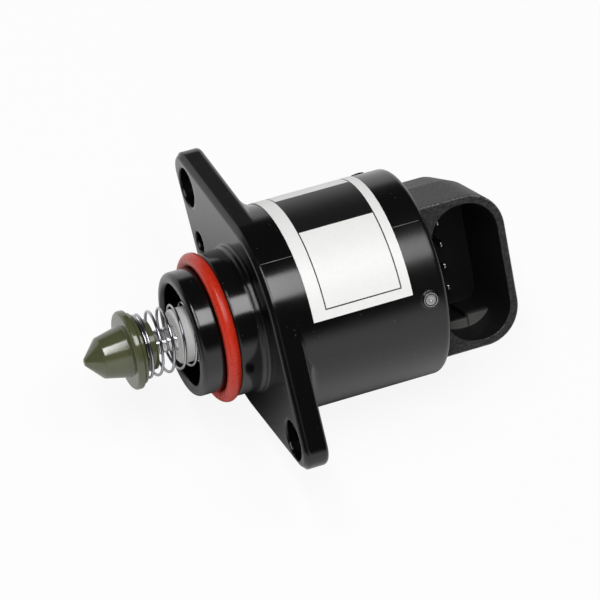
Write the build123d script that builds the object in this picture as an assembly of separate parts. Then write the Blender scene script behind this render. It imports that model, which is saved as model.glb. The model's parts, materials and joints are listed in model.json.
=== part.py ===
# Idle air control valve: a stepper-motor valve with a spring-loaded pintle, in millimetres.
# The valve axis is X, the pintle points to -X, and the flange's mounting face lies in x = 0.
import os

from build123d import *

os.makedirs("parts", exist_ok=True)

# Housing: flange, nose and cup moulded in one piece
hole_spacing = 46.0
hole_diameter = 6.5
flange_offset = 1.0
flange_thickness = 4.0
lobe_end_radius = 3.3
upper_lobe_overhang = 2.6
lower_lobe_overhang = 1.7
flange_front_chamfer = 0.7
flange_front_radius = 0.2
flange_edge_radius = 0.8
flange_blend = 2.0
blend_run_out = 45.0
vent_diameter = 3.6
vent_depth = 2.4
vent_y = 16.7
vent_z = -4.9
body_radius = 16.4
cup_wall = 1.8
cup_rim_radius = 0.9
web_front = 1.0
web_rear = 2.5
nose_radius = 11.3
nose_rib_radius = 11.6
nose_rib_length = 0.8
nose_step_x = -4.4
nose_front_x = -10.2
nose_lip_radius = 9.8
nose_lip_rounding = 0.8
nose_bore_radius = 8.0
nose_bore_chamfer = 0.4
lip_boss_radius = 1.25
lip_boss_height = 0.4

# Mounting seal
o_ring_radius = 1.1
o_ring_groove_radius = 9.65
o_ring_seat_width = 2.2

# Pintle, lead screw and spring
tip_x = -25.8
tip_radius = 0.5
steep_cone_length = 2.5
steep_cone_radius = 3.2
shallow_cone_length = 4.1
shallow_cone_radius = 4.13
collar_radius = 6.2
collar_thickness = 1.1
collar_edge = 0.3
shoulder_radius = 5.6
shoulder_slope = 0.3
shoulder_length = 0.45
hub_radius = 3.95
hub_length = 2.35
screw_radius = 1.95
screw_flat = 1.6
screw_engagement = 4.5
screw_rear_inset = 6.0
wire_size = 0.45
spring_radius = 4.9
spring_pitch = 1.84

# Guide sleeve
sleeve_front_x = -11.2
sleeve_radius = 4.3
sleeve_front_rounding = 0.5
sleeve_key_length = 6.0
sleeve_flange_thickness = 0.8
sleeve_flange_clearance = 0.1
sleeve_recess_depth = 0.4
sleeve_recess_margin = 0.3

# Ball bearing
bearing_bore_radius = 4.0
bearing_outer_radius = 8.0
bearing_width = 4.0
race_share = 0.325
ball_share = 0.25
ball_count = 6
cage_clearance = 0.25
cage_width = 3.0
bearing_boss_wall = 1.25

# Rotor
rotor_shoulder_radius = 5.2
rotor_core_radius = 4.6
magnet_inset = 1.1
magnet_clearance = 1.0
journal_radius = 2.95
nut_length = 7.0
hub_clear_radius = 2.4

# Stator stacks
stator_clearance = 0.5
stator_stack_length = 7.2
stator_sheet = 0.8
claw_count = 6
claw_end_gap = 0.4
claw_root_width = 3.5
claw_tip_width = 2.1
bobbin_wall = 0.5
bobbin_hub_wall = 0.6
winding_inset = 0.6
winding_depth = 2.2
stack_turn = 15.0

# Rear cover and connector
connector_turn = 43.0
spigot_length = 5.8
spigot_ring_wall = 1.9
cover_plate_thickness = 2.6
cover_boss_radius = 5.5
bush_radius = 4.2
bush_inset = 4.6
bush_length = 2.8
screw_pocket_radius = 3.2
screw_pocket_floor = 0.4
seal_radius = 0.5
seal_inset = 0.9
shroud_length = 13.4
shroud_half_width = 12.2
shroud_corner_radius = 6.0
shroud_wall = 1.2
shroud_mouth = 9.5
shroud_step = -1.5
shroud_back = -9.6
shroud_back_taper = 8.0
shroud_root = 3.0
socket_floor = -6.0
socket_end_flat = 0.4
mouth_rounding = 0.4
key_front = 0.9
key_length = 4.0
key_depth = 1.9
key_top = 1.5
step_front = -2.6
step_length = 3.5
step_depth = 1.2
step_top = 1.0
terminal_pitch = 3.57
terminal_width = 1.0
terminal_thickness = 0.64
terminal_chamfer = 0.2
terminal_tip = -2.3
terminal_run = -8.0
terminal_inner_gap = 0.7

# Retaining pins and label
pin_inset = 3.0
pin_radius = 0.83
pin_length = 3.6
pin_dimple_radius = 0.3
label_front_margin = 2.2
label_rear_margin = 5.6
label_thickness = 0.12
label_start_angle = -12.0
label_end_angle = 128.0

# Clearances
running_fit = 0.05
press_fit = 0.0
loose_fit = 0.2
air_gap = 0.4

# Radii worked out from the ones above
cup_radius = body_radius - cup_wall
spigot_radius = cup_radius - running_fit
bearing_section = bearing_outer_radius - bearing_bore_radius
ball_radius = bearing_section * ball_share
race_wall = bearing_section * race_share
race_inner_shoulder = bearing_bore_radius + race_wall
race_outer_shoulder = bearing_outer_radius - race_wall
cage_thickness = race_outer_shoulder - race_inner_shoulder - 2 * cage_clearance
bearing_pitch_radius = (race_inner_shoulder + race_outer_shoulder) / 2
boss_bore_radius = bearing_outer_radius + press_fit
boss_radius = boss_bore_radius + bearing_boss_wall
stator_radius = cup_radius - loose_fit
bobbin_flange_radius = stator_radius - stator_sheet - loose_fit
winding_outer_radius = bobbin_flange_radius - winding_inset
winding_inner_radius = winding_outer_radius - winding_depth
bobbin_radius = winding_inner_radius - bobbin_hub_wall
claw_outer_radius = bobbin_radius - loose_fit
claw_inner_radius = claw_outer_radius - stator_sheet
magnet_radius = claw_inner_radius - air_gap
o_ring_centre_radius = o_ring_groove_radius + o_ring_radius
sleeve_flange_radius = bearing_outer_radius - sleeve_flange_clearance
sleeve_recess_radius = race_outer_shoulder - sleeve_recess_margin

# Places along the axis worked out from the ones above
o_ring_x = nose_step_x - o_ring_seat_width / 2
collar_front_x = tip_x + steep_cone_length + shallow_cone_length
collar_rear_x = collar_front_x + collar_thickness
shoulder_front_x = collar_rear_x + shoulder_slope
shoulder_rear_x = shoulder_front_x + shoulder_length
hub_rear_x = shoulder_rear_x + hub_length
sleeve_flange_rear_x = web_rear + sleeve_flange_thickness
bearing_front_x = sleeve_flange_rear_x
bearing_rear_x = bearing_front_x + bearing_width
bearing_mid_x = bearing_front_x + bearing_width / 2
inner_race_front_x = bearing_front_x + sleeve_recess_depth
stator_front_x = bearing_rear_x + stator_clearance
stator_rear_x = stator_front_x + 2 * stator_stack_length
stack_mid_x = stator_front_x + stator_stack_length
magnet_front_x = bearing_rear_x + magnet_clearance
magnet_rear_x = stator_rear_x - magnet_inset
claw_length = stator_stack_length - 2 * stator_sheet - claw_end_gap
cup_rear = stator_rear_x + spigot_length
pin_x = cup_rear - pin_inset
seal_x = cup_rear - seal_inset
bush_front_x = cup_rear - bush_inset
bush_rear_x = bush_front_x + bush_length
journal_end_x = bush_rear_x - loose_fit
screw_rear_x = cup_rear - screw_rear_inset
shroud_rear_x = cup_rear + shroud_length
socket_mid_x = (cup_rear + shroud_rear_x) / 2
connector_angle = 90.0 + connector_turn
pin_angles = [connector_angle + turn for turn in (0, 120, 240)]


def turned(*points):
    """Solid of revolution about the valve axis from a closed (x, radius) outline."""
    outline = Polyline(*[(x, r, 0) for x, r in points], close=True)
    return revolve(make_face(outline), Axis.X)


def ring(x0, x1, r0, r1):
    """Plain ring about the valve axis."""
    return turned((x0, r0), (x1, r0), (x1, r1), (x0, r1))


def radial_plane(angle, x=0.0):
    """Plane whose normal points outward at an angle from +Y, with its own x along the valve axis."""
    outward = Vector(0, 1, 0).rotate(Axis.X, angle)
    return Plane(origin=(x, 0, 0), x_dir=(1, 0, 0), z_dir=outward)


def radial_rod(angle, x, radius, inner, outer):
    """Round rod standing out from the axis between two radii."""
    return extrude(radial_plane(angle, x).offset(inner) * Circle(radius), outer - inner)


def around_axis(shape, count):
    """The shape repeated evenly about the valve axis."""
    copies = [shape.rotate(Axis.X, i * 360 / count) for i in range(count)]
    result = copies[0]
    for copy in copies[1:]:
        result = result + copy
    return result


def save(shape, name):
    export_step(shape, f"parts/{name}.step")


# Flange: two rounded lobes running tangent into the round of the cup
upper_hole_y = flange_offset + hole_spacing / 2
lower_hole_y = flange_offset - hole_spacing / 2
upper_lobe = Pos(upper_hole_y + upper_lobe_overhang, 0) * Circle(lobe_end_radius)
lower_lobe = Pos(lower_hole_y - lower_lobe_overhang, 0) * Circle(lobe_end_radius)
flange_outline = make_hull(upper_lobe.edges() + lower_lobe.edges() + Circle(body_radius).edges())
flange = extrude(Plane.YZ * flange_outline, flange_thickness)
flange = fillet(flange.faces().sort_by(Axis.X)[-1].edges(), flange_edge_radius)
flange = chamfer(flange.faces().sort_by(Axis.X)[0].edges(), flange_front_chamfer)
front_edges = flange.faces().sort_by(Axis.X)[0].edges()
side_edges = flange.edges().filter_by_position(Axis.X, flange_front_chamfer, flange_front_chamfer)
flange = fillet(front_edges + side_edges, flange_front_radius)
for hole_y in (upper_hole_y, lower_hole_y):
    flange = flange - extrude(Plane.YZ * Pos(hole_y, 0) * Circle(hole_diameter / 2), flange_thickness)
flange = flange - extrude(Plane.YZ * Pos(vent_y, vent_z) * Circle(vent_diameter / 2), vent_depth)

# Concave blend where the lobes run into the cup, sloped off towards the flange's sides
blend_rear_x = flange_thickness + flange_blend
blend_radius = body_radius + flange_blend
arc_reach = flange_blend * (1 - 0.5 ** 0.5)
blend_arc = ThreePointArc(
    (blend_rear_x, body_radius), (flange_thickness + arc_reach, body_radius + arc_reach),
    (flange_thickness, blend_radius))
blend_back = Polyline(
    (flange_thickness, blend_radius), (flange_thickness / 2, blend_radius),
    (flange_thickness / 2, cup_radius), (blend_rear_x, cup_radius), (blend_rear_x, body_radius))
blend = revolve(make_face(blend_arc + blend_back), Axis.X)
run_out_x = flange_thickness - flange_edge_radius
run_out = extrude(Plane.YZ.offset(run_out_x) * flange_outline, blend_rear_x - run_out_x, taper=blend_run_out)
blend = blend & (extrude(Plane.YZ * flange_outline, run_out_x) + run_out)

# Cup, nose and the inside of both
cup = extrude(Plane.YZ.offset(flange_thickness / 2) * Circle(body_radius), cup_rear - flange_thickness / 2)
cup = fillet(cup.edges().sort_by(Axis.X)[-1], cup_rim_radius)
cup_space = ring(web_rear, cup_rear, 0, cup_radius)
bearing_boss = ring(web_rear, stator_front_x, boss_bore_radius, boss_radius)
groove_front_x = nose_step_x - o_ring_seat_width
nose = turned(
    (web_rear, 0), (web_rear, nose_rib_radius), (-nose_rib_length, nose_rib_radius),
    (-nose_rib_length, nose_radius), (nose_step_x, nose_radius), (nose_step_x, o_ring_groove_radius),
    (groove_front_x, o_ring_groove_radius), (groove_front_x, nose_lip_radius),
    (nose_front_x, nose_lip_radius), (nose_front_x, 0))
nose = fillet(nose.edges().filter_by(GeomType.CIRCLE).sort_by(Axis.X)[0], nose_lip_rounding)
housing = flange + cup + blend - cup_space + bearing_boss + nose
for angle in pin_angles:
    boss_top = body_radius + lip_boss_height
    housing = housing + radial_rod(angle, pin_x, lip_boss_radius, cup_radius + running_fit, boss_top)
housing = housing - turned(
    (nose_front_x, 0), (nose_front_x, nose_bore_radius + nose_bore_chamfer),
    (nose_front_x + nose_bore_chamfer, nose_bore_radius), (web_front, nose_bore_radius), (web_front, 0))
housing = housing - ring(web_front, web_rear, 0, sleeve_radius + press_fit)
for angle in pin_angles:
    housing = housing - radial_rod(angle, pin_x, pin_radius, cup_radius - cup_wall, body_radius + cup_wall)
save(housing, "valve_body")

# Mounting seal on the nose
save(revolve(Plane.XY * Pos(o_ring_x, o_ring_centre_radius) * Circle(o_ring_radius), Axis.X), "o_ring")

# Pintle: blunt double cone, rimmed collar, spring shoulder and a hub that takes the screw
screw_front_x = hub_rear_x - screw_engagement
pintle = turned(
    (tip_x, 0), (tip_x, tip_radius), (tip_x + steep_cone_length, steep_cone_radius),
    (collar_front_x, shallow_cone_radius), (collar_front_x, collar_radius - collar_edge),
    (collar_front_x + collar_edge, collar_radius), (collar_rear_x, collar_radius),
    (shoulder_front_x, shoulder_radius), (shoulder_rear_x, shoulder_radius),
    (shoulder_rear_x, hub_radius), (hub_rear_x, hub_radius), (hub_rear_x, 0))
pintle = pintle - ring(screw_front_x, hub_rear_x, 0, screw_radius + press_fit)
save(pintle, "pintle")


def double_flat_rod(x0, x1, radius, flat):
    """Round rod along the axis with two flats facing +Z and -Z."""
    section = Circle(radius) & Rectangle(2 * radius, 2 * flat)
    return extrude(Plane.YZ.offset(x0) * section, x1 - x0)


# Lead screw: the round end sits in the pintle, the rest carries the two flats
screw = ring(screw_front_x, hub_rear_x, 0, screw_radius)
screw = screw + double_flat_rod(hub_rear_x, screw_rear_x, screw_radius, screw_flat)
save(screw, "lead_screw")

# Spring between the pintle's shoulder and the bottom of the nose bore
spring_length = web_front - shoulder_rear_x - 2 * wire_size
coil = Helix(spring_pitch, spring_length, spring_radius)
wire_profile = Plane(coil @ 0, z_dir=coil % 0, x_dir=(0, 0, 1)) * Rectangle(wire_size, wire_size)
spring = sweep(wire_profile, path=coil, is_frenet=True)
spring = Plane(origin=(shoulder_rear_x + wire_size, 0, 0), z_dir=(1, 0, 0)) * spring
save(spring, "pintle_spring")

# Guide sleeve: keyed bore at the front, flange trapped under the bearing
sleeve = ring(sleeve_front_x, web_rear, 0, sleeve_radius)
sleeve = fillet(sleeve.edges().filter_by(GeomType.CIRCLE).sort_by(Axis.X)[0], sleeve_front_rounding)
sleeve = sleeve + ring(web_rear, sleeve_flange_rear_x, 0, sleeve_flange_radius)
recess_front_x = sleeve_flange_rear_x - sleeve_recess_depth
sleeve = sleeve - ring(recess_front_x, sleeve_flange_rear_x, 0, sleeve_recess_radius)
sleeve_key_end_x = sleeve_front_x + sleeve_key_length
sleeve = sleeve - double_flat_rod(
    sleeve_front_x, sleeve_key_end_x, screw_radius + running_fit, screw_flat + running_fit)
sleeve = sleeve - ring(sleeve_key_end_x, sleeve_flange_rear_x, 0, hub_clear_radius)
save(sleeve, "guide_sleeve")

# Ball bearing: two grooved races, a cage and its balls
ball_track = revolve(
    Plane.XY * Pos(bearing_mid_x, bearing_pitch_radius) * Circle(ball_radius + running_fit), Axis.X)
outer_race = ring(bearing_front_x, bearing_rear_x, race_outer_shoulder, bearing_outer_radius) - ball_track
inner_race = ring(inner_race_front_x, bearing_rear_x, bearing_bore_radius, race_inner_shoulder) - ball_track
save(outer_race, "bearing_outer_race")
save(inner_race, "bearing_inner_race")
ball = Pos(bearing_mid_x, bearing_pitch_radius, 0) * Sphere(ball_radius)
balls = around_axis(ball, ball_count)
save(balls, "bearing_balls")
cage_inner = bearing_pitch_radius - cage_thickness / 2
cage_half = cage_width / 2
cage = ring(bearing_mid_x - cage_half, bearing_mid_x + cage_half, cage_inner, cage_inner + cage_thickness)
cage_window = radial_rod(0, bearing_mid_x, ball_radius, bearing_bore_radius, bearing_outer_radius)
cage = cage - around_axis(cage_window, ball_count)
save(cage, "bearing_cage")

# Rotor: hub with its nut bore, ring magnet
nut_end_x = magnet_front_x + nut_length
hub = turned(
    (inner_race_front_x, hub_clear_radius), (inner_race_front_x, bearing_bore_radius),
    (bearing_rear_x, bearing_bore_radius), (bearing_rear_x, rotor_shoulder_radius),
    (magnet_front_x, rotor_shoulder_radius), (magnet_front_x, rotor_core_radius),
    (magnet_rear_x, rotor_core_radius), (magnet_rear_x, journal_radius), (journal_end_x, journal_radius),
    (journal_end_x, hub_clear_radius), (nut_end_x, hub_clear_radius), (nut_end_x, screw_radius + running_fit),
    (magnet_front_x, screw_radius + running_fit), (magnet_front_x, hub_clear_radius))
save(hub, "rotor_hub")
save(ring(magnet_front_x, magnet_rear_x, rotor_core_radius, magnet_radius), "rotor_magnet")

# Claw-pole stators: two cups and two plates whose claws mesh round the magnet
claw_plane = radial_plane(0)
claw_outline = Polyline(
    (0, -claw_root_width / 2), (claw_length, -claw_tip_width / 2), (claw_length, claw_tip_width / 2),
    (0, claw_root_width / 2), close=True)
claw_prism = extrude(claw_plane * make_face(claw_outline), stator_radius)
claw = claw_prism & ring(0, claw_length, claw_inner_radius, claw_outer_radius)
claws = around_axis(claw, claw_count)
claw_disc = ring(-stator_sheet, 0, claw_inner_radius, stator_radius - stator_sheet)
claw_plate = claw_disc + claws
cup_wall_ring = ring(
    -stator_sheet, stator_stack_length - stator_sheet, stator_radius - stator_sheet, stator_radius)
claw_cup = claw_plate + cup_wall_ring
turn_back = 180.0
half_claw = 180.0 / claw_count
front_cup = Pos(stator_front_x + stator_sheet, 0, 0) * claw_cup
front_plate = claw_plate.rotate(Axis.Z, turn_back).rotate(Axis.X, half_claw)
front_plate = Pos(stack_mid_x - stator_sheet, 0, 0) * front_plate
rear_plate = Pos(stack_mid_x + stator_sheet, 0, 0) * claw_plate.rotate(Axis.X, stack_turn)
rear_cup = claw_cup.rotate(Axis.Z, turn_back).rotate(Axis.X, half_claw + stack_turn)
rear_cup = Pos(stator_rear_x - stator_sheet, 0, 0) * rear_cup
save(front_cup, "front_stator_cup")
save(front_plate, "front_stator_plate")
save(rear_plate, "rear_stator_plate")
save(rear_cup, "rear_stator_cup")

# Coils: a flanged bobbin and its winding in each stack
bobbin_front_x = stator_front_x + stator_sheet + running_fit
bobbin_length = stator_stack_length - 2 * (stator_sheet + running_fit)
winding_front_x = bobbin_front_x + bobbin_wall
winding_end_x = bobbin_front_x + bobbin_length - bobbin_wall
bobbin = turned(
    (bobbin_front_x, bobbin_radius), (bobbin_front_x, bobbin_flange_radius),
    (winding_front_x, bobbin_flange_radius), (winding_front_x, winding_inner_radius),
    (winding_end_x, winding_inner_radius), (winding_end_x, bobbin_flange_radius),
    (bobbin_front_x + bobbin_length, bobbin_flange_radius), (bobbin_front_x + bobbin_length, bobbin_radius))
winding = ring(winding_front_x, winding_end_x, winding_inner_radius, winding_outer_radius)
to_rear_stack = Pos(stator_stack_length, 0, 0)
save(bobbin, "front_bobbin")
save(to_rear_stack * bobbin, "rear_bobbin")
save(winding, "front_winding")
save(to_rear_stack * winding, "rear_winding")

# Rear cover: spigot ring, plate, bush boss and connector shroud
connector_plane = radial_plane(connector_angle, socket_mid_x)
cover = ring(stator_rear_x, cup_rear, cup_radius - spigot_ring_wall, spigot_radius)
cover = cover + ring(cup_rear - cover_plate_thickness, cup_rear, 0, spigot_radius)
cover = cover + ring(bush_front_x, cup_rear, 0, cover_boss_radius)

# Shroud outline: square against the cup, round at the rear
shroud_half = shroud_length / 2
shroud_outline = RectangleRounded(shroud_length, 2 * shroud_half_width, shroud_corner_radius)
shroud_outline = shroud_outline + Pos(-shroud_half / 2, 0) * Rectangle(shroud_half, 2 * shroud_half_width)
upper = extrude(connector_plane.offset(shroud_step) * shroud_outline, shroud_mouth - shroud_step)
socket_axis = Axis(connector_plane.origin, connector_plane.z_dir)
mouth_face = upper.faces().sort_by(socket_axis)[-1]
upper = fillet(mouth_face.edges(), mouth_rounding)
root_outline = Pos(-shroud_half - shroud_root / 2, 0) * Rectangle(shroud_root, 2 * shroud_half_width)
step_plane = connector_plane.offset(shroud_step)
back_depth = shroud_back - shroud_step
lower = extrude(step_plane * (shroud_outline + root_outline), back_depth, taper=shroud_back_taper)
lower = lower & extrude(step_plane * shroud_outline, back_depth)
cover = cover + upper + lower

# Socket: a straight round-ended well with a stepped key at one end
socket_half = shroud_half - shroud_wall
socket_reach = shroud_half_width - shroud_wall
well = RectangleRounded(2 * socket_half, 2 * socket_reach, socket_half - socket_end_flat)
floor_plane = connector_plane.offset(socket_floor)
socket = extrude(floor_plane * well, shroud_mouth - socket_floor)
key = Pos(key_front + key_length / 2, key_depth / 2 - socket_reach) * Rectangle(key_length, key_depth)
step = Pos(step_front + step_length / 2, step_depth / 2 - socket_reach) * Rectangle(step_length, step_depth)
socket = socket - extrude(floor_plane * (key & well), key_top - socket_floor)
socket = socket - extrude(floor_plane * (step & well), step_top - socket_floor)
cover = cover - socket
cover = cover - ring(bush_front_x, bush_rear_x, 0, bush_radius)
cover = cover - ring(bush_front_x, cup_rear - screw_pocket_floor, 0, screw_pocket_radius)
seal_groove_radius = cup_radius - 2 * seal_radius
cover = cover - ring(seal_x - seal_radius, seal_x + seal_radius, seal_groove_radius, cup_radius)
pin_inner = body_radius - pin_length
for angle in pin_angles:
    cover = cover - radial_rod(angle, pin_x, pin_radius, pin_inner, cup_radius)

# Terminals: bent blades moulded into the cover
terminals = []
blade_half = terminal_thickness / 2
run_length = socket_mid_x - stator_rear_x - terminal_inner_gap
for i in range(4):
    place = connector_plane.offset(terminal_run)
    across = (i - 1.5) * terminal_pitch
    run = Pos(-run_length / 2 + blade_half / 2, across) * Rectangle(run_length + blade_half, terminal_width)
    blade = extrude(place * run, terminal_thickness / 2, both=True)
    post = Pos(0, across) * Rectangle(terminal_thickness, terminal_width)
    post = extrude(place * post, terminal_tip - terminal_run)
    post = chamfer(post.faces().sort_by(socket_axis)[-1].edges(), terminal_chamfer)
    blade = blade + post
    terminals.append(blade)
    save(blade, f"terminal_{i + 1}")
for blade in terminals:
    cover = cover - blade
save(cover, "rear_cover")

# Small pieces of the cover: bush, seal, pins and thrust washer
save(ring(bush_front_x, bush_rear_x, journal_radius + running_fit, bush_radius), "rear_bush")
seal_centre = cup_radius - seal_radius
save(revolve(Plane.XY * Pos(seal_x, seal_centre) * Circle(seal_radius), Axis.X), "cover_seal")
washer_front_x = magnet_rear_x + loose_fit
save(ring(washer_front_x, bush_front_x, journal_radius + running_fit, rotor_core_radius), "thrust_washer")
for i, angle in enumerate(pin_angles):
    pin = radial_rod(angle, pin_x, pin_radius, pin_inner, body_radius + lip_boss_height - running_fit)
    dimple = radial_plane(angle, pin_x).offset(body_radius + lip_boss_height) * Sphere(pin_dimple_radius)
    save(pin - dimple, f"retaining_pin_{i + 1}")

# Label wrapped on the cup
label_front_x = flange_thickness + label_front_margin
label_rear_x = cup_rear - label_rear_margin
label_outline = Pos((label_front_x + label_rear_x) / 2, body_radius + label_thickness / 2) * Rectangle(
    label_rear_x - label_front_x, label_thickness)
label = revolve(Plane.XY * label_outline, Axis.X, label_end_angle - label_start_angle)
save(label.rotate(Axis.X, label_start_angle), "label")
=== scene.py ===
"""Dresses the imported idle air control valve: its finishes, wire spring, seal, pintle, studio and camera."""
import json
import math

import bmesh
import bpy
from mathutils import Euler, Matrix, Vector


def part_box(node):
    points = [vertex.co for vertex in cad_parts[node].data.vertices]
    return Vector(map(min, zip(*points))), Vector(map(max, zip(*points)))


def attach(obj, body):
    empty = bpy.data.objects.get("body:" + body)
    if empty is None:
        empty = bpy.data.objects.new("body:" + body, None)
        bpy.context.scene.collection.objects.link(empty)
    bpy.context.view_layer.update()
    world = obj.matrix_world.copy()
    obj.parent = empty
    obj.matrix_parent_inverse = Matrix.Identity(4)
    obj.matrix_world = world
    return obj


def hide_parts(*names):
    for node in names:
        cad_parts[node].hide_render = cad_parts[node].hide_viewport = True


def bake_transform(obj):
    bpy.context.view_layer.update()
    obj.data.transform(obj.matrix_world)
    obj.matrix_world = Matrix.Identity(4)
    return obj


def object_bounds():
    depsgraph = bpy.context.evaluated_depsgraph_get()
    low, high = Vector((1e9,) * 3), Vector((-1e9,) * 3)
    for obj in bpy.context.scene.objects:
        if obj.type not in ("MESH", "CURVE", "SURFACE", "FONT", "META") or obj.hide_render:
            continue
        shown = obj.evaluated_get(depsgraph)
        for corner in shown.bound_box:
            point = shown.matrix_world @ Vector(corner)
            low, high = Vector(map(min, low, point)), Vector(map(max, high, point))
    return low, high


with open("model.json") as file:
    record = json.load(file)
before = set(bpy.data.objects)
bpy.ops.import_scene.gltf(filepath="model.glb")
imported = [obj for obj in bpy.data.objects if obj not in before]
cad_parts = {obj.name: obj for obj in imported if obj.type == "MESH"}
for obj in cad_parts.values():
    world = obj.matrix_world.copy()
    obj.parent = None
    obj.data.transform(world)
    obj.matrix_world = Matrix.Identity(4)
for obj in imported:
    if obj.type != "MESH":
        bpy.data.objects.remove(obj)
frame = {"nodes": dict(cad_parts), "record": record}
nodes = frame["nodes"]
cad_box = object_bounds()
scene = bpy.context.scene

MM = 0.001
VALVE_AXIS = Vector((1, 0, 0))
# Most values of a noise texture lie between these two
NOISE_LOW, NOISE_HIGH = 0.3, 0.7


# Tools

def linear(hex_code):
    """An sRGB hex colour as linear RGBA."""
    channels = [int(hex_code[i:i + 2], 16) / 255 for i in (1, 3, 5)]
    return [c / 12.92 if c <= 0.04045 else ((c + 0.055) / 1.055) ** 2.4 for c in channels] + [1.0]


def plug(tree, node, inputs):
    """Sets a node's inputs; each takes a value or another node's output."""
    for name, value in inputs.items():
        if isinstance(value, bpy.types.NodeSocket):
            tree.links.new(value, node.inputs[name])
        else:
            node.inputs[name].default_value = value


def add(tree, kind, settings=None, inputs=None):
    """Adds one node with its settings and plugs its inputs."""
    node = tree.nodes.new(kind)
    for name, value in (settings or {}).items():
        setattr(node, name, value)
    plug(tree, node, inputs or {})
    return node


def new_material(name):
    """A material with its node tree, its shader and the object's own coordinates in metres."""
    material = bpy.data.materials.new(name)
    material.use_nodes = True
    tree = material.node_tree
    shader = tree.nodes["Principled BSDF"]
    place = add(tree, "ShaderNodeTexCoord").outputs["Object"]
    return material, tree, shader, place


def per_mm(size_mm):
    """Texture scale that gives a pattern this size in millimetres."""
    return 1 / (size_mm * MM)


def finish(material, *names):
    """Gives one finish to several CAD nodes."""
    for name in names:
        nodes[name].data.materials.clear()
        nodes[name].data.materials.append(material)


def span(name):
    """Where a CAD node starts and ends along the valve axis, in millimetres."""
    low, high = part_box(name)
    return low.x / MM, high.x / MM


def full_turn(count):
    """Evenly spaced angles once round a circle."""
    return [2 * math.pi * i / count for i in range(count)]


def mesh_piece(name, mesh, material, sharp_angle=40.0):
    """An object made from a finished bmesh, smooth except at its sharp corners."""
    bmesh.ops.recalc_face_normals(mesh, faces=mesh.faces)
    data = bpy.data.meshes.new(name)
    mesh.to_mesh(data)
    mesh.free()
    data.materials.append(material)
    data.shade_smooth()
    data.set_sharp_from_angle(angle=math.radians(sharp_angle))
    piece = bpy.data.objects.new(name, data)
    scene.collection.objects.link(piece)
    return piece


def skin_rings(mesh, rings, closed):
    """Faces between rows of points; each row is a ring, and a row of one point is a tip."""
    following = rings[1:] + rings[:1] if closed else rings[1:]
    for ring, next_ring in zip(rings, following):
        count = max(len(ring), len(next_ring))
        for i in range(count):
            j = (i + 1) % count
            near = [ring[i % len(ring)], ring[j % len(ring)]]
            far = [next_ring[j % len(next_ring)], next_ring[i % len(next_ring)]]
            corners = list(dict.fromkeys(near + far))
            if len(corners) > 2:
                mesh.faces.new(corners)


def skin_capped(mesh, rings):
    """A skin over a row of rings, with a face across each end."""
    skin_rings(mesh, rings, False)
    mesh.faces.new(rings[0])
    mesh.faces.new(rings[-1])


def turned_piece(name, outline, material, segments=128, closed=False):
    """A turned piece about the valve axis from (x, radius) points in millimetres."""
    mesh = bmesh.new()
    turns = full_turn(segments)
    rings = []
    for x, r in outline:
        if r == 0:
            points = [(x * MM, 0, 0)]
        else:
            points = [(x * MM, r * MM * math.cos(t), r * MM * math.sin(t)) for t in turns]
        rings.append([mesh.verts.new(point) for point in points])
    skin_rings(mesh, rings, closed)
    return mesh_piece(name, mesh, material)


def rounded(points, radius, steps=5, most_of_run=0.45):
    """The same open outline with each corner between its ends rounded, where its runs leave room."""
    result = [points[0]]
    for before, corner, after in zip(points, points[1:], points[2:]):
        middle = Vector(corner)
        into, out = Vector(before) - middle, Vector(after) - middle
        reach = min(radius, into.length * most_of_run, out.length * most_of_run)
        start, end = middle + into.normalized() * reach, middle + out.normalized() * reach
        for i in range(steps + 1):
            t = i / steps
            result.append(tuple(start * (1 - t) ** 2 + middle * 2 * t * (1 - t) + end * t ** 2))
    result.append(points[-1])
    return result


# Sizes in millimetres and directions, read from the frame or kept as on the solids
label_radius = max(abs(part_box("label")[1].y), abs(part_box("label")[1].z)) / MM
spring_front, spring_rear = span("pintle_spring")
tip, hub_end = span("pintle")
screw_front, screw_rear = span("lead_screw")
screw_radius = 1.95
socket = next(mount for mount in frame["record"]["mounts"] if mount["name"] == "connector_socket")
socket_out = Vector(socket["axis"])
socket_side = socket_out.cross(VALVE_AXIS)
mouth_height = Vector(socket["pos_m"]).dot(socket_out) / MM
pin_numbers = (1, 2, 3)
pins = [f"retaining_pin_{number}" for number in pin_numbers]
terminals = [f"terminal_{number}" for number in (1, 2, 3, 4)]


# Finishes

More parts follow.
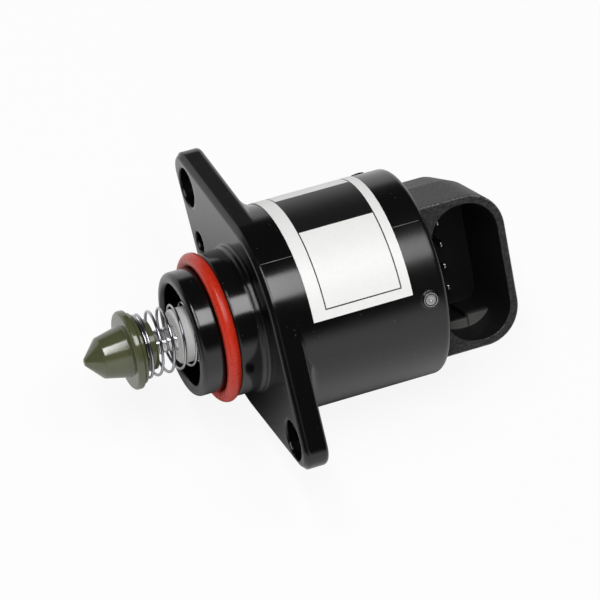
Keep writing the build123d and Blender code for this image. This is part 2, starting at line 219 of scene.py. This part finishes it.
def glossy_black_pbt():
    """PBT from a polished mould: near black, reflections that soften towards the rear, a little dust."""
    material, tree, shader, place = new_material("moulded_pbt_black")
    ripple_mm = 7.0
    # Real dust is finer, and is drawn this coarse so that it shows
    dust_mm = 0.35
    soft_from, soft_to = 2.0, 24.0
    ripple = add(tree, "ShaderNodeTexNoise", None, {
        "Vector": place, "Scale": per_mm(ripple_mm), "Detail": 2.0})
    dust = add(tree, "ShaderNodeTexNoise", None, {"Vector": place, "Scale": per_mm(dust_mm), "Detail": 0.0})
    along = add(tree, "ShaderNodeSeparateXYZ", None, {"Vector": place}).outputs["X"]
    rear = add(tree, "ShaderNodeMapRange", None, {
        "Value": along, "From Min": soft_from * MM, "From Max": soft_to * MM, "To Min": 0.0, "To Max": 0.1})
    wavering = add(tree, "ShaderNodeMapRange", None, {
        "Value": ripple.outputs["Fac"], "From Min": NOISE_LOW, "From Max": NOISE_HIGH,
        "To Min": 0.11, "To Max": 0.16})
    gloss = add(tree, "ShaderNodeMath", {"operation": "ADD"}, {
        0: wavering.outputs["Result"], 1: rear.outputs["Result"]})
    specks = add(tree, "ShaderNodeMapRange", None, {
        "Value": dust.outputs["Fac"], "From Min": 0.825, "From Max": 0.86, "To Min": 0.0, "To Max": 0.12})
    colour = add(tree, "ShaderNodeMix", {"data_type": "RGBA"}, {
        "Factor": specks.outputs["Result"], "A": linear("#070708"), "B": linear("#9a9a98")})
    edges = add(tree, "ShaderNodeBevel", {"samples": 12}, {"Radius": 0.7 * MM})
    bump = add(tree, "ShaderNodeBump", None, {
        "Height": ripple.outputs["Fac"], "Strength": 0.05, "Distance": 0.15 * MM,
        "Normal": edges.outputs["Normal"]})
    plug(tree, shader, {
        "Base Color": colour.outputs["Result"], "Roughness": gloss.outputs[0],
        "Normal": bump.outputs["Normal"], "IOR": 1.52})
    return material


def connector_nylon():
    """Glass-filled nylon: black with a dry sheen and fine grain, scuffed pale at the mouth; its rounded edge
    also carries a painted highlight and the key painted light.
    """
    material, tree, shader, place = new_material("glass_filled_nylon_black")
    # The real grain and scuffs are finer, and are drawn this coarse so that they show
    grain_mm, scuff_mm = 0.3, 0.35
    scuff_stretch = (0.7, 1.0, 1.0)
    # How far below the mouth the scuffs reach, and where those on its edge, partly a painted highlight, start
    # and are full
    mouth_depth = 0.55
    edge_start, edge_full = 0.35, 0.12
    # Where the key's painted light starts and is full: across the socket, under its top and over its foot
    key_start, key_full = -9.0, -9.3
    top_start, top_full = 1.8, 1.5
    foot_start, foot_full = 0.0, 1.0
    grain = add(tree, "ShaderNodeTexNoise", None, {"Vector": place, "Scale": per_mm(grain_mm), "Detail": 3.0})
    height = add(tree, "ShaderNodeVectorMath", {"operation": "DOT_PRODUCT"}, {
        0: place, 1: socket_out}).outputs["Value"]
    across = add(tree, "ShaderNodeVectorMath", {"operation": "DOT_PRODUCT"}, {
        0: place, 1: socket_side}).outputs["Value"]

    # The key's end is evenly painted pale between its foot and its top: painted light falling into the socket
    key_end = add(tree, "ShaderNodeMapRange", None, {
        "Value": across, "From Min": key_start * MM, "From Max": key_full * MM, "To Max": 0.26})
    below_top = add(tree, "ShaderNodeMapRange", None, {
        "Value": height, "From Min": top_start * MM, "From Max": top_full * MM})
    above_foot = add(tree, "ShaderNodeMapRange", None, {
        "Value": height, "From Min": foot_start * MM, "From Max": foot_full * MM})
    key_upper = add(tree, "ShaderNodeMath", {"operation": "MULTIPLY"}, {
        0: key_end.outputs["Result"], 1: below_top.outputs["Result"]})
    key = add(tree, "ShaderNodeMath", {"operation": "MULTIPLY"}, {
        0: key_upper.outputs[0], 1: above_foot.outputs["Result"]})

    # The mouth is scuffed in patches, most of all on its rounded edge, where the pale patches also stand in
    # for a painted highlight
    mouth = add(tree, "ShaderNodeMapRange", None, {
        "Value": height, "From Min": (mouth_height - mouth_depth) * MM, "From Max": mouth_height * MM,
        "To Max": 0.09})
    normal = add(tree, "ShaderNodeNewGeometry").outputs["Normal"]
    facing = add(tree, "ShaderNodeVectorMath", {"operation": "DOT_PRODUCT"}, {0: normal, 1: socket_out})
    turned_away = add(tree, "ShaderNodeMapRange", None, {
        "Value": facing.outputs["Value"], "From Min": 0.98, "From Max": 0.8, "To Max": 0.6})
    near_mouth = add(tree, "ShaderNodeMapRange", None, {
        "Value": height, "From Min": (mouth_height - edge_start) * MM,
        "From Max": (mouth_height - edge_full) * MM})
    rounding = add(tree, "ShaderNodeMath", {"operation": "MULTIPLY"}, {
        0: turned_away.outputs["Result"], 1: near_mouth.outputs["Result"]})
    edge_share = add(tree, "ShaderNodeMath", {"operation": "MAXIMUM"}, {
        0: mouth.outputs["Result"], 1: rounding.outputs[0]})
    drawn = add(tree, "ShaderNodeMapping", None, {"Vector": place, "Scale": scuff_stretch})
    scuffs = add(tree, "ShaderNodeTexNoise", None, {
        "Vector": drawn.outputs["Vector"], "Scale": per_mm(scuff_mm), "Detail": 5.0, "Roughness": 0.65})
    patchy = add(tree, "ShaderNodeMapRange", None, {
        "Value": scuffs.outputs["Fac"], "From Min": 0.36, "From Max": 0.64})
    rim = add(tree, "ShaderNodeMath", {"operation": "MULTIPLY"}, {
        0: edge_share.outputs[0], 1: patchy.outputs["Result"]})

    # Pale where the mouth is scuffed, with a painted highlight on its edge and painted light on the key
    scuffs_and_painted_light = add(tree, "ShaderNodeMath", {"operation": "MAXIMUM"}, {0: rim.outputs[0], 1: key.outputs[0]})
    colour = add(tree, "ShaderNodeMix", {"data_type": "RGBA"}, {
        "Factor": scuffs_and_painted_light.outputs[0], "A": linear("#141415"), "B": linear("#a4a4a0")})
    gloss = add(tree, "ShaderNodeMapRange", None, {
        "Value": grain.outputs["Fac"], "From Min": NOISE_LOW, "From Max": NOISE_HIGH,
        "To Min": 0.42, "To Max": 0.56})
    edges = add(tree, "ShaderNodeBevel", {"samples": 6}, {"Radius": 0.2 * MM})
    bump = add(tree, "ShaderNodeBump", None, {
        "Height": grain.outputs["Fac"], "Strength": 0.4, "Distance": 0.03 * MM,
        "Normal": edges.outputs["Normal"]})
    plug(tree, shader, {
        "Base Color": colour.outputs["Result"], "Roughness": gloss.outputs["Result"],
        "Normal": bump.outputs["Normal"], "IOR": 1.5, "Specular IOR Level": 0.3})
    return material


def grained_plastic(name, dark_hex, light_hex, roughness, grain_mm, depth_mm, ior):
    """Moulded or pressed stock with a fine grain: a soft highlight and a slightly uneven colour."""
    material, tree, shader, place = new_material(name)
    cloud_mm = 12 * grain_mm
    # The real grain is finer, and is drawn this coarse so that it shows
    grain = add(tree, "ShaderNodeTexNoise", None, {"Vector": place, "Scale": per_mm(grain_mm), "Detail": 3.0})
    cloud = add(tree, "ShaderNodeTexNoise", None, {"Vector": place, "Scale": per_mm(cloud_mm)})
    colour = add(tree, "ShaderNodeMix", {"data_type": "RGBA"}, {
        "Factor": cloud.outputs["Fac"], "A": linear(dark_hex), "B": linear(light_hex)})
    gloss = add(tree, "ShaderNodeMapRange", None, {
        "Value": grain.outputs["Fac"], "From Min": NOISE_LOW, "From Max": NOISE_HIGH,
        "To Min": roughness * 0.85, "To Max": roughness * 1.15})
    bump = add(tree, "ShaderNodeBump", None, {
        "Height": grain.outputs["Fac"], "Strength": 0.4, "Distance": depth_mm * MM})
    plug(tree, shader, {
        "Base Color": colour.outputs["Result"], "Roughness": gloss.outputs["Result"],
        "Normal": bump.outputs["Normal"], "IOR": ior})
    return material


def worked_metal(name, hex_code, roughness, line_mm, depth_mm):
    """Bare metal with lines round the valve axis: bright, with a slightly drawn-out highlight."""
    material, tree, shader, place = new_material(name)
    line_stretch = (1.0, 0.08, 0.08)
    stretched = add(tree, "ShaderNodeMapping", None, {"Vector": place, "Scale": line_stretch})
    # The real lines are finer, and are drawn this coarse so that they show
    lines = add(tree, "ShaderNodeTexNoise", None, {
        "Vector": stretched.outputs["Vector"], "Scale": per_mm(line_mm), "Detail": 3.0})
    gloss = add(tree, "ShaderNodeMapRange", None, {
        "Value": lines.outputs["Fac"], "From Min": NOISE_LOW, "From Max": NOISE_HIGH,
        "To Min": roughness * 0.75, "To Max": roughness * 1.25})
    bump = add(tree, "ShaderNodeBump", None, {
        "Height": lines.outputs["Fac"], "Strength": 0.3, "Distance": depth_mm * MM})
    plug(tree, shader, {
        "Base Color": linear(hex_code), "Metallic": 1.0, "Roughness": gloss.outputs["Result"],
        "Normal": bump.outputs["Normal"]})
    return material


def wound_copper():
    """Enamelled copper wire in close turns: a warm metal with fine ridges round the coil, with painted shade
    between the turns and a painted highlight on them.
    """
    material, tree, shader, place = new_material("enamelled_copper_wire")
    # The real wire is about half as thick, and is drawn this coarse so that its turns show
    wire_mm = 0.2
    # At a scale of one, a wave texture repeats after pi / 10 units
    wave_scale = math.pi / 10 * per_mm(wire_mm)
    turns = add(tree, "ShaderNodeTexWave", {"bands_direction": "X"}, {
        "Vector": place, "Scale": wave_scale, "Distortion": 0.3})
    # The colour darkens between the turns and lightens on their crowns: painted shade and highlight
    colour = add(tree, "ShaderNodeMix", {"data_type": "RGBA"}, {
        "Factor": turns.outputs["Fac"], "A": linear("#6e3116"), "B": linear("#b9652f")})
    bump = add(tree, "ShaderNodeBump", None, {
        "Height": turns.outputs["Fac"], "Strength": 0.8, "Distance": wire_mm / 2 * MM})
    plug(tree, shader, {
        "Base Color": colour.outputs["Result"], "Metallic": 1.0, "Roughness": 0.27,
        "Normal": bump.outputs["Normal"]})
    return material


def printed_label():
    """Satin white vinyl, printed with a black panel inside a thin frame line."""
    material, tree, shader, place = new_material("satin_vinyl_label")
    mottle_mm, wave_mm, line_mm = 0.6, 5.0, 0.2
    front, rear = 8.4 * MM, 20.9 * MM
    top, bottom = math.radians(18.0), math.radians(123.0)
    panel_top, panel_bottom = math.radians(44.0), math.radians(77.8)
    line, line_turn = line_mm * MM, line_mm / label_radius
    split = add(tree, "ShaderNodeSeparateXYZ", None, {"Vector": place})
    along = split.outputs["X"]
    around = add(tree, "ShaderNodeMath", {"operation": "ARCTAN2"}, {
        0: split.outputs["Z"], 1: split.outputs["Y"]}).outputs[0]

    def patch(low, high, start, end):
        """One inside a rectangle of the unrolled label, and zero outside it."""
        tests = (("GREATER_THAN", along, low), ("LESS_THAN", along, high),
                 ("GREATER_THAN", around, start), ("LESS_THAN", around, end))
        inside = 1.0
        for operation, value, limit in tests:
            passed = add(tree, "ShaderNodeMath", {"operation": operation}, {0: value, 1: limit})
            both = add(tree, "ShaderNodeMath", {"operation": "MULTIPLY"}, {0: inside, 1: passed.outputs[0]})
            inside = both.outputs[0]
        return inside

    panel = patch(front, rear, panel_top, panel_bottom)
    outer = patch(front, rear, top, bottom)
    inner = patch(front + line, rear - line, top + line_turn, bottom - line_turn)
    border = add(tree, "ShaderNodeMath", {"operation": "SUBTRACT"}, {0: outer, 1: inner})
    ink = add(tree, "ShaderNodeMath", {"operation": "MAXIMUM"}, {0: panel, 1: border.outputs[0]})
    mottle = add(tree, "ShaderNodeTexNoise", None, {
        "Vector": place, "Scale": per_mm(mottle_mm), "Detail": 2.0})
    white = add(tree, "ShaderNodeMix", {"data_type": "RGBA"}, {
        "Factor": mottle.outputs["Fac"], "A": linear("#f0f0ee"), "B": linear("#f8f8f6")})
    colour = add(tree, "ShaderNodeMix", {"data_type": "RGBA"}, {
        "Factor": ink.outputs[0], "A": white.outputs["Result"], "B": linear("#0c0c0d")})
    waves = add(tree, "ShaderNodeTexNoise", None, {"Vector": place, "Scale": per_mm(wave_mm), "Detail": 1.0})
    bump = add(tree, "ShaderNodeBump", None, {
        "Height": waves.outputs["Fac"], "Strength": 0.25, "Distance": 0.2 * MM})
    plug(tree, shader, {
        "Base Color": colour.outputs["Result"], "Roughness": 0.42,
        "Normal": bump.outputs["Normal"], "IOR": 1.47})
    return material


def silicone_seal():
    """Moulded red silicone: a deep even red, a waxy soft highlight and a fine bloom of dust."""
    material, tree, shader, place = new_material("moulded_silicone_red")
    # The real bloom is finer, and is drawn this coarse so that it shows
    bloom_mm = 0.8
    bloom = add(tree, "ShaderNodeTexNoise", None, {"Vector": place, "Scale": per_mm(bloom_mm), "Detail": 4.0})
    colour = add(tree, "ShaderNodeMix", {"data_type": "RGBA"}, {
        "Factor": bloom.outputs["Fac"], "A": linear("#b5210f"), "B": linear("#ca351d")})
    gloss = add(tree, "ShaderNodeMapRange", None, {
        "Value": bloom.outputs["Fac"], "From Min": NOISE_LOW, "From Max": NOISE_HIGH,
        "To Min": 0.25, "To Max": 0.36})
    bump = add(tree, "ShaderNodeBump", None, {
        "Height": bloom.outputs["Fac"], "Strength": 0.1, "Distance": 0.05 * MM})
    plug(tree, shader, {
        "Base Color": colour.outputs["Result"], "Roughness": gloss.outputs["Result"],
        "Normal": bump.outputs["Normal"], "IOR": 1.41})
    return material


housing_black = glossy_black_pbt()
cover_black = connector_nylon()
seal_red = silicone_seal()
# Moulded nitrile rubber: a dull black that hardly mirrors
seal_black = grained_plastic(
    "nitrile_rubber_black", "#101010", "#161616", roughness=0.6, grain_mm=0.4, depth_mm=0.02, ior=1.5)
# Turned acetal: a deep olive with a clear, narrow highlight
pintle_olive = grained_plastic(
    "turned_acetal_olive", "#464931", "#54573a", roughness=0.13, grain_mm=0.6, depth_mm=0.004, ior=1.65)
# Polished steel: bright, its highlights just softened by the finishing lines
steel_bright = worked_metal("polished_steel", "#d2d2d4", roughness=0.27, line_mm=0.15, depth_mm=0.002)
# Drawn spring steel: greyer, with a tight bright line along each coil
steel_wire = worked_metal("drawn_spring_steel", "#a8a9ad", roughness=0.16, line_mm=0.12, depth_mm=0.002)
# Tumbled steel: pale satin, its highlight spread over the pin's end
steel_pin = worked_metal("tumbled_steel", "#c6c6c4", roughness=0.42, line_mm=0.25, depth_mm=0.01)
# Moulded acetal: an even, satin light grey
sleeve_grey = grained_plastic(
    "moulded_acetal_grey", "#e6e6e4", "#f0f0ee", roughness=0.42, grain_mm=0.25, depth_mm=0.01, ior=1.48)
# Turned brass: a warm yellow with a satin sheen
brass_satin = worked_metal("turned_brass", "#c9a25a", roughness=0.3, line_mm=0.15, depth_mm=0.003)
# Rolled steel sheet: mid grey with a broad, dull sheen
steel_sheet = worked_metal("rolled_steel_sheet", "#a9aaac", roughness=0.34, line_mm=0.3, depth_mm=0.003)
# Tin plate on bronze: a silvery white with soft reflections
tin_plate = worked_metal("tin_plated_bronze", "#cfcec8", roughness=0.25, line_mm=0.2, depth_mm=0.003)
copper_turns = wound_copper()
# Moulded natural nylon: creamy, satin and faintly uneven
nylon_natural = grained_plastic(
    "natural_nylon", "#d5cfbd", "#e2dccb", roughness=0.4, grain_mm=0.4, depth_mm=0.01, ior=1.53)
# Sintered ferrite: charcoal with a stony grain
ferrite = grained_plastic(
    "sintered_ferrite", "#2b2b2d", "#38383a", roughness=0.55, grain_mm=0.2, depth_mm=0.02, ior=1.8)
label_print = printed_label()
# Parting bead finish: a broken pale line, a painted highlight along the bead's crest
bead_painted_highlight = grained_plastic(
    "pbt_bead_painted_highlight", "#1c1c1c", "#8c8c8a", roughness=0.3, grain_mm=0.12, depth_mm=0.02, ior=1.52)
# Pin rim finish: pale grey, a painted highlight on the rim round each pin's hole
pin_rim_painted_highlight = grained_plastic(
    "pbt_pin_rim_painted_highlight", "#5c5c5a", "#b4b4b0", roughness=0.3, grain_mm=0.1, depth_mm=0.02, ior=1.52)

finish(housing_black, "valve_body")
finish(cover_black, "rear_cover")
finish(seal_red, "o_ring")
finish(seal_black, "cover_seal")
finish(pintle_olive, "pintle")
finish(steel_bright, "lead_screw", "bearing_outer_race", "bearing_inner_race", "bearing_balls")
finish(steel_wire, "pintle_spring")
finish(steel_pin, *pins)
finish(sleeve_grey, "guide_sleeve")
finish(brass_satin, "bearing_cage", "rear_bush")
finish(steel_sheet, "front_stator_cup", "front_stator_plate", "rear_stator_plate", "rear_stator_cup")
finish(tin_plate, *terminals)
finish(copper_turns, "front_winding", "rear_winding")
finish(nylon_natural, "rotor_hub", "thrust_washer", "front_bobbin", "rear_bobbin")
finish(ferrite, "rotor_magnet")
finish(label_print, "label")

cad_sharp_angle = math.radians(28.0)
for node in nodes.values():
    node.data.shade_smooth()
    node.data.set_sharp_from_angle(angle=cad_sharp_angle)


# Softened edges on the pins and the terminals
def soften_edges(name, width_mm, weld_mm=0.001, sharp_angle=40.0):
    joined = nodes[name].modifiers.new("joined", "WELD")
    joined.merge_threshold = weld_mm * MM
    edge = nodes[name].modifiers.new("edge", "BEVEL")
    edge.width = width_mm * MM
    edge.segments = 2
    edge.limit_method = "ANGLE"
    edge.angle_limit = math.radians(sharp_angle)


for name in pins:
    soften_edges(name, width_mm=0.12)
for name in terminals:
    soften_edges(name, width_mm=0.06)


# Spring: round wire wound left-handed, with a closed turn at each end
def wire_spring(coil_radius=4.9, wire_radius=0.225, pitch=1.84, closed_turns=1.1, start_turn=0.38):
    mesh = bmesh.new()
    steps, sides = 48, 12
    front, rear = spring_front + wire_radius, spring_rear - wire_radius
    # The closed turns all but touch
    closed_pitch = 2.1 * wire_radius
    open_turns = (rear - front - 2 * closed_turns * closed_pitch) / pitch
    total_turns = open_turns + 2 * closed_turns
    rings = []
    for i in range(int(total_turns * steps) + 1):
        turn = i / steps
        first = min(turn, closed_turns)
        middle = min(max(turn - closed_turns, 0), open_turns)
        last = max(turn - closed_turns - open_turns, 0)
        x = front + (first + last) * closed_pitch + middle * pitch
        swing = 2 * math.pi * (start_turn - turn)
        out = Vector((0, math.cos(swing), math.sin(swing)))
        centre = VALVE_AXIS * x + out * coil_radius
        section = [out * math.cos(a) + VALVE_AXIS * math.sin(a) for a in full_turn(sides)]
        rings.append([mesh.verts.new((centre + side * wire_radius) * MM) for side in section])
    skin_capped(mesh, rings)
    return mesh_piece("spring_wire", mesh, steel_wire)


spring = wire_spring()
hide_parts("pintle_spring")
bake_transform(spring)


# Seal: a full round ring
def seal_ring(sides=40, segments=160):
    front, rear = span("o_ring")
    tube = (rear - front) / 2
    middle = (rear + front) / 2
    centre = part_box("o_ring")[1].y / MM - tube
    outline = [(middle + tube * math.cos(a), centre + tube * math.sin(a)) for a in full_turn(sides)]
    return turned_piece("seal_ring", outline, seal_red, segments, closed=True)


seal = seal_ring()
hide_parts("o_ring")
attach(seal, "housing")


# Pintle: the double cone, collar and hub with the corners a turning tool leaves
def turned_pintle(corner_radius=0.14):
    tip_radius, point_radius, cone_radius = 0.5, 3.2, 4.13
    collar_radius, collar_chamfer = 6.2, 0.3
    shoulder_radius, hub_radius = 5.6, 3.95
    point_end, collar_front, collar_rear = tip + 2.5, tip + 6.6, tip + 7.7
    shoulder_front, shoulder_rear = tip + 8.0, tip + 8.45
    outline = [
        (tip, 0), (tip, tip_radius), (point_end, point_radius), (collar_front, cone_radius),
        (collar_front, collar_radius - collar_chamfer), (collar_front + collar_chamfer, collar_radius),
        (collar_rear, collar_radius), (shoulder_front, shoulder_radius), (shoulder_rear, shoulder_radius),
        (shoulder_rear, hub_radius), (hub_end, hub_radius), (hub_end, screw_radius),
        (screw_front, screw_radius), (screw_front, 0)]
    return turned_piece("turned_pintle", rounded(outline, corner_radius), pintle_olive)


pintle = turned_pintle()
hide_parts("pintle")
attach(pintle, "pintle")


# Lead screw: a right-hand thread with two flats, and a plain end inside the pintle
def threaded_screw(flat=1.6, pitch=1.0, depth=0.16, flank_slope=3.0, crest_width=0.25):
    mesh = bmesh.new()
    sides, steps = 36, 10
    # The thread's first ring stands just off the end of the plain part
    first_step = 0.01
    count = int((screw_rear - hub_end) / pitch * steps)
    places = [(screw_front, 0.0), (hub_end, 0.0)]
    places += [(hub_end + (screw_rear - hub_end) * (i + first_step) / count, depth) for i in range(count)]
    places += [(screw_rear, depth)]
    rings = []
    for x, cut in places:
        ring = []
        for turn in full_turn(sides):
            from_crest = abs((x / pitch - turn / (2 * math.pi)) % 1.0 - 0.5)
            r = screw_radius - cut * min(1.0, max(0.0, flank_slope * from_crest - crest_width))
            across, up = r * math.cos(turn), r * math.sin(turn)
            if cut:
                up = max(-flat, min(flat, up))
            ring.append(mesh.verts.new((x * MM, across * MM, up * MM)))
        rings.append(ring)
    skin_capped(mesh, rings)
    return mesh_piece("threaded_screw", mesh, steel_bright, sharp_angle=50.0)


screw = threaded_screw()
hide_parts("lead_screw")
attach(screw, "pintle")


# Parting line: the fine bead that the two halves of the mould leave along the cup
def parting_bead(name, turn_deg, front, rear, cup_radius=16.4, half_width=0.07, height=0.045):
    mesh = bmesh.new()
    root, run_out, run_out_sink = -0.05, 0.3, 0.06
    turn = math.radians(turn_deg)
    out = Vector((0, math.cos(turn), math.sin(turn)))
    side = Vector((0, -math.sin(turn), math.cos(turn)))
    brow_width, brow_height = half_width * 0.5, height * 0.8
    section = [
        (-half_width, root), (-brow_width, brow_height), (0, height), (brow_width, brow_height),
        (half_width, root)]
    rings = []
    for x in (front, front + run_out, rear - run_out, rear):
        sink = run_out_sink if x in (front, rear) else 0.0
        points = [VALVE_AXIS * x + side * a + out * (cup_radius + b - sink) for a, b in section]
        rings.append([mesh.verts.new(point * MM) for point in points])
    skin_capped(mesh, rings)
    # The bead's pale finish is a painted highlight along its crest
    bead = mesh_piece(name, mesh, bead_painted_highlight)
    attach(bead, "housing")


upper_line, under_line = 90.0, 270.0
bead_front, bead_rear = 0.9, 27.0
# The upper bead breaks off where the label covers it
gap_front, gap_rear = 6.18, 22.45
parting_bead("parting_bead_front", upper_line, bead_front, gap_front)
parting_bead("parting_bead_rear", upper_line, gap_rear, bead_rear)
parting_bead("parting_bead_under", under_line, bead_front, bead_rear, height=0.025)


# Lips: a thin pale ring standing just proud round each pin's hole on its boss, a painted highlight on that
# rim
def pin_lip(number, lip_radius=1.05, tube=0.08, top=16.75, segments=56, sides=10):
    low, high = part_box(f"retaining_pin_{number}")
    middle = (low + high) / 2
    out = Vector((0, middle.y, middle.z)).normalized()
    side = out.cross(VALVE_AXIS)
    centre = Vector((middle.x / MM, 0, 0)) + out * top
    mesh = bmesh.new()
    rings = []
    for turn in full_turn(segments):
        spoke = VALVE_AXIS * math.cos(turn) + side * math.sin(turn)
        section = [(lip_radius + tube * math.cos(a), tube * math.sin(a)) for a in full_turn(sides)]
        rings.append([mesh.verts.new((centre + spoke * r + out * rise) * MM) for r, rise in section])
    skin_rings(mesh, rings, True)
    # The lip's pale finish is a painted highlight
    lip = mesh_piece(f"pin_lip_{number}", mesh, pin_rim_painted_highlight)
    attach(lip, "housing")


for number in pin_numbers:
    pin_lip(number)


# Studio
def area_light(name, at, aim, width, height, watts):
    """A soft box at a point in metres, turned to face another point."""
    lamp = bpy.data.lights.new(name, "AREA")
    lamp.shape = "RECTANGLE"
    lamp.size = width
    lamp.size_y = height
    lamp.energy = watts
    box = bpy.data.objects.new(name, lamp)
    box.location = at
    box.rotation_euler = (Vector(aim) - Vector(at)).to_track_quat("-Z", "Y").to_euler()
    scene.collection.objects.link(box)
    return box


# Each soft box hangs level and faces down: its name, X, Y, width, height and watts
ceiling = 0.47
soft_boxes = (
    ("key_softbox", -0.115, 0.005, 0.075, 0.35, 1.29),
    ("strip_softbox", 0.097, -0.042, 0.073, 0.23, 0.46),
    ("rear_softbox", 0.2335, -0.036, 0.20, 0.20, 0.43))
for name, x, y, width, height, watts in soft_boxes:
    area_light(name, (x, y, ceiling), (x, y, 0), width, height, watts)
# The fill lifts the dark sides and stays out of the reflections
fill = area_light("side_fill", (-0.4, -0.12, 0.12), (0, 0, 0), width=0.3, height=0.2, watts=0.27)
fill.visible_glossy = False


def white_table():
    """Matt white laminate: it shows white and keeps a light shadow, and in mirrors its white fades near the
    object as a painted contact shadow.
    """
    material, tree, shader, place = new_material("matt_white_laminate")
    speck_mm = 2.0
    # Share of plain white that the camera and mirrors see, the rest being the lit surface
    white_share = 0.9
    shade_reach = 40.0
    speck = add(tree, "ShaderNodeTexNoise", None, {"Vector": place, "Scale": per_mm(speck_mm)})
    colour = add(tree, "ShaderNodeMix", {"data_type": "RGBA"}, {
        "Factor": speck.outputs["Fac"], "A": linear("#f4f4f4"), "B": linear("#f8f8f8")})
    plug(tree, shader, {"Base Color": colour.outputs["Result"], "Roughness": 0.9})
    ray = add(tree, "ShaderNodeLightPath")
    seen = ray.outputs["Is Camera Ray"]
    mirrored = add(tree, "ShaderNodeMath", {"operation": "MAXIMUM"}, {
        0: ray.outputs["Is Glossy Ray"], 1: ray.outputs["Is Transmission Ray"]})
    either = add(tree, "ShaderNodeMath", {"operation": "MAXIMUM"}, {0: mirrored.outputs[0], 1: seen})
    share = add(tree, "ShaderNodeMath", {"operation": "MULTIPLY"}, {0: either.outputs[0], 1: white_share})
    # In mirrors the white glow fades where the object closes the floor in: a painted contact shadow
    open_sky = add(tree, "ShaderNodeAmbientOcclusion", {"samples": 8}, {"Distance": shade_reach * MM})
    contact = add(tree, "ShaderNodeMapRange", None, {
        "Value": open_sky.outputs["AO"], "From Min": 0.45, "From Max": 0.85, "To Min": 0.0, "To Max": 1.0})
    glow = add(tree, "ShaderNodeMath", {"operation": "MAXIMUM"}, {0: contact.outputs["Result"], 1: seen})
    white = add(tree, "ShaderNodeEmission", None, {"Color": linear("#ffffff"), "Strength": glow.outputs[0]})
    both = add(tree, "ShaderNodeMixShader", None, {
        "Fac": share.outputs[0], 1: shader.outputs["BSDF"], 2: white.outputs["Emission"]})
    plug(tree, tree.nodes["Material Output"], {"Surface": both.outputs["Shader"]})
    return material


table_half = 1.5
floor_mesh = bmesh.new()
bmesh.ops.create_grid(floor_mesh, x_segments=1, y_segments=1, size=table_half)
floor = mesh_piece("table", floor_mesh, white_table())
floor.location.z = cad_box[0][2]


def studio_world():
    """A low white wall in front, dark behind, above and beside the tip, and plain white to the camera."""
    world = bpy.data.worlds.new("studio")
    world.use_nodes = True
    tree = world.node_tree
    wall_up = (0.4, 0.2, 0.9)
    direction = add(tree, "ShaderNodeTexCoord").outputs["Generated"]
    height = add(tree, "ShaderNodeVectorMath", {"operation": "DOT_PRODUCT"}, {0: direction, 1: wall_up})
    low = add(tree, "ShaderNodeMapRange", {"interpolation_type": "SMOOTHSTEP"}, {
        "Value": height.outputs["Value"], "From Min": 0.12, "From Max": 0.42, "To Min": 1.0, "To Max": 0.0})
    along = add(tree, "ShaderNodeSeparateXYZ", None, {"Vector": direction}).outputs["X"]
    past_tip = add(tree, "ShaderNodeMapRange", {"interpolation_type": "SMOOTHSTEP"}, {
        "Value": along, "From Min": -0.85, "From Max": -0.35})
    wall = add(tree, "ShaderNodeMath", {"operation": "MULTIPLY"}, {
        0: low.outputs["Result"], 1: past_tip.outputs["Result"]})
    seen = add(tree, "ShaderNodeLightPath").outputs["Is Camera Ray"]
    share = add(tree, "ShaderNodeMath", {"operation": "MAXIMUM"}, {0: wall.outputs[0], 1: seen})
    colour = add(tree, "ShaderNodeMix", {"data_type": "RGBA"}, {
        "Factor": share.outputs[0], "A": linear("#3c3c3e"), "B": linear("#ffffff")})
    plug(tree, tree.nodes["Background"], {"Color": colour.outputs["Result"], "Strength": 1.0})
    return world


scene.world = studio_world()

# Camera: its place, and its turns about X, Y and Z in degrees
camera_at = Vector((-185.16, -283.17, 612.88)) * MM
camera_turn = Euler([math.radians(angle) for angle in (28.454, -7.301, -21.321)])
lens = bpy.data.cameras.new("camera")
lens.sensor_width = 36.0
lens.lens = 274.0
camera = bpy.data.objects.new("camera", lens)
camera.matrix_world = Matrix.LocRotScale(camera_at, camera_turn, None)
scene.collection.objects.link(camera)
scene.camera = camera
scene.view_settings.view_transform = "Standard"
